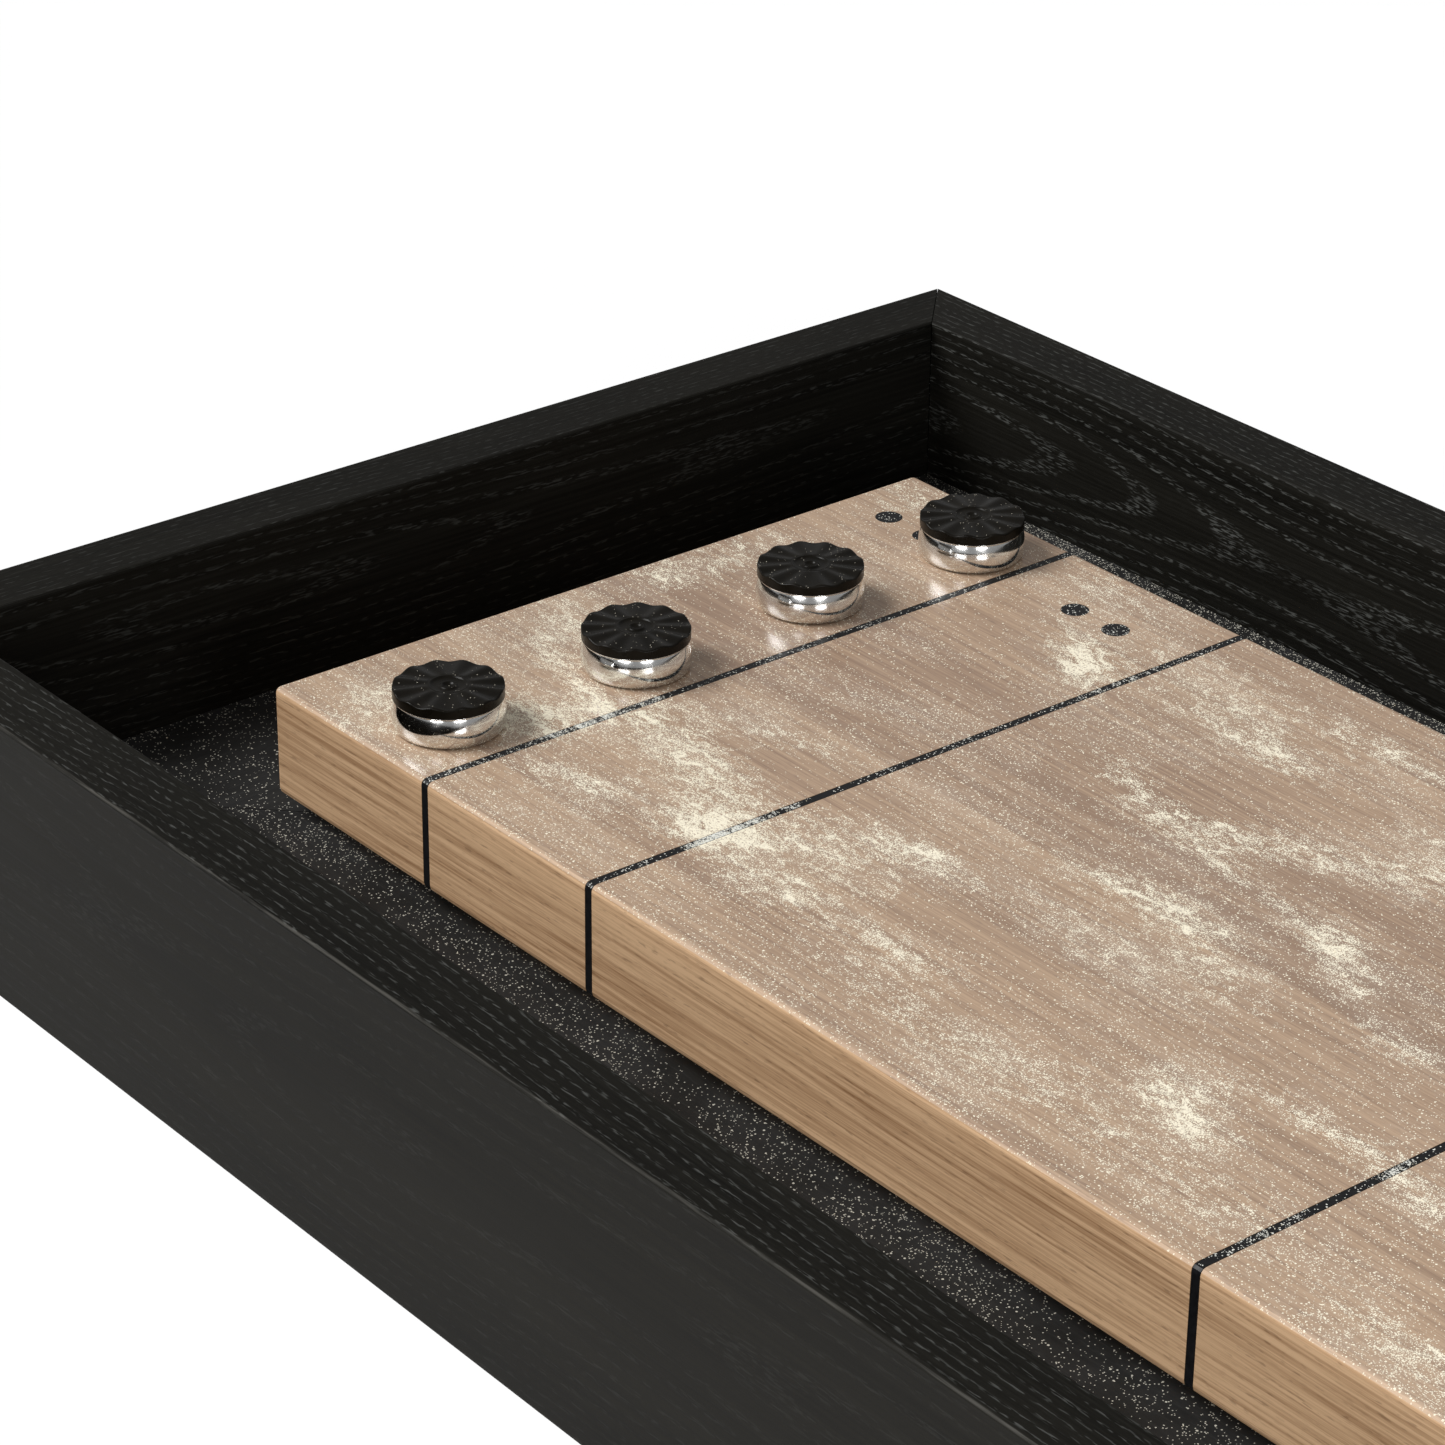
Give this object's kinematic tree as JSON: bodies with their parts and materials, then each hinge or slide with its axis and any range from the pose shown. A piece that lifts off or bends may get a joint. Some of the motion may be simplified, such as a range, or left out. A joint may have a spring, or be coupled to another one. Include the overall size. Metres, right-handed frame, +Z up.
{
  "type": "shuffleboard table",
  "caption": "Shuffleboard table: pale oak playfield slab with black score lines in a black oak cradle with gutters all round, on a pedestal base, with sliding weights.",
  "frame": {"origin": "middle of the bounding box at floor level", "axes": "+X along the table, from the end with the pucks to the bare end; +Y across it, from the near side to the far side; +Z up"},
  "size_m": [2.7384, 0.7024, 0.8],
  "materials": {
    "natural_oak": "clear gloss lacquer over pale oak staves",
    "black_inlay": "satin black",
    "black_oak": "ebonised open-pore oak, satin, with paler pores",
    "birch_ply": "sanded, unfinished",
    "painted_steel": "black powder coat",
    "plated_steel": "zinc plated",
    "black_rubber": "matt",
    "chrome": "polished",
    "cap_plastic": "semi-gloss moulded"
  },
  "bodies": {
    "table": {"playfield": "natural_oak", "score_line_left_1": "black_inlay", "score_line_left_2": "black_inlay", "score_line_left_3": "black_inlay", "score_line_right_1": "black_inlay", "score_line_right_2": "black_inlay", "score_line_right_3": "black_inlay", "side_rail_near": "black_oak", "side_rail_far": "black_oak", "end_rail_left": "black_oak", "end_rail_right": "black_oak", "gutter_board_near": "black_oak", "gutter_board_far": "black_oak", "gutter_board_left": "black_oak", "gutter_board_right": "black_oak", "pedestal_beam_left": "black_oak", "pedestal_beam_right": "black_oak", "pedestal_panel_left": "black_oak", "pedestal_panel_right": "black_oak", "pedestal_foot_left": "black_oak", "pedestal_foot_right": "black_oak", "stretcher": "black_oak", "cross_bearer_1": "birch_ply", "cross_bearer_2": "birch_ply", "cross_bearer_3": "birch_ply", "cross_bearer_4": "birch_ply", "riser_block_1": "birch_ply", "riser_block_2": "birch_ply", "riser_block_3": "birch_ply", "riser_block_4": "birch_ply", "corner_block_1": "birch_ply", "corner_block_2": "birch_ply", "corner_block_3": "birch_ply", "corner_block_4": "birch_ply", "adjuster_bar_1": "painted_steel", "adjuster_bar_2": "painted_steel", "adjuster_bar_3": "painted_steel", "pedestal_bolt_1": "plated_steel", "pedestal_bolt_2": "plated_steel", "pedestal_bolt_3": "plated_steel", "pedestal_bolt_4": "plated_steel"},
    "puck_1": {"puck_weight_1": "chrome", "puck_cap_1": "cap_plastic"},
    "puck_2": {"puck_weight_2": "chrome", "puck_cap_2": "cap_plastic"},
    "puck_3": {"puck_weight_3": "chrome", "puck_cap_3": "cap_plastic"},
    "puck_4": {"puck_weight_4": "chrome", "puck_cap_4": "cap_plastic"},
    "leveller_1": {"leveller_pad_1": "black_rubber", "leveller_stem_1": "plated_steel"},
    "leveller_2": {"leveller_pad_2": "black_rubber", "leveller_stem_2": "plated_steel"},
    "leveller_3": {"leveller_pad_3": "black_rubber", "leveller_stem_3": "plated_steel"},
    "leveller_4": {"leveller_pad_4": "black_rubber", "leveller_stem_4": "plated_steel"},
    "adjuster_1": {"adjuster_screw_1": "plated_steel"},
    "adjuster_2": {"adjuster_screw_2": "plated_steel"},
    "adjuster_3": {"adjuster_screw_3": "plated_steel"}
  },
  "joints": [
    {"name": "puck_1_slide", "type": "slide", "parent": "table", "child": "puck_1", "axis": [1, 0, 0], "range_m": [-0.0581, 2.3253]},
    {"name": "puck_2_slide", "type": "slide", "parent": "table", "child": "puck_2", "axis": [1, 0, 0], "range_m": [-0.0627, 2.3207]},
    {"name": "puck_3_slide", "type": "slide", "parent": "table", "child": "puck_3", "axis": [1, 0, 0], "range_m": [-0.0597, 2.3237]},
    {"name": "puck_4_slide", "type": "slide", "parent": "table", "child": "puck_4", "axis": [1, 0, 0], "range_m": [-0.0653, 2.3181]},
    {"name": "leveller_1_travel", "type": "slide", "parent": "table", "child": "leveller_1", "axis": [0, 0, -1], "range_m": [0, 0.015]},
    {"name": "leveller_2_travel", "type": "slide", "parent": "table", "child": "leveller_2", "axis": [0, 0, -1], "range_m": [0, 0.015]},
    {"name": "leveller_3_travel", "type": "slide", "parent": "table", "child": "leveller_3", "axis": [0, 0, -1], "range_m": [0, 0.015]},
    {"name": "leveller_4_travel", "type": "slide", "parent": "table", "child": "leveller_4", "axis": [0, 0, -1], "range_m": [0, 0.015]},
    {"name": "adjuster_1_turn", "type": "hinge", "parent": "table", "child": "adjuster_1", "pos_m": [-0.42, 0, 0.718], "axis": [0, 0, 1], "range_deg": [-360, 360]},
    {"name": "adjuster_2_turn", "type": "hinge", "parent": "table", "child": "adjuster_2", "pos_m": [0, 0, 0.718], "axis": [0, 0, 1], "range_deg": [-360, 360]},
    {"name": "adjuster_3_turn", "type": "hinge", "parent": "table", "child": "adjuster_3", "pos_m": [0.42, 0, 0.718], "axis": [0, 0, 1], "range_deg": [-360, 360]}
  ]
}
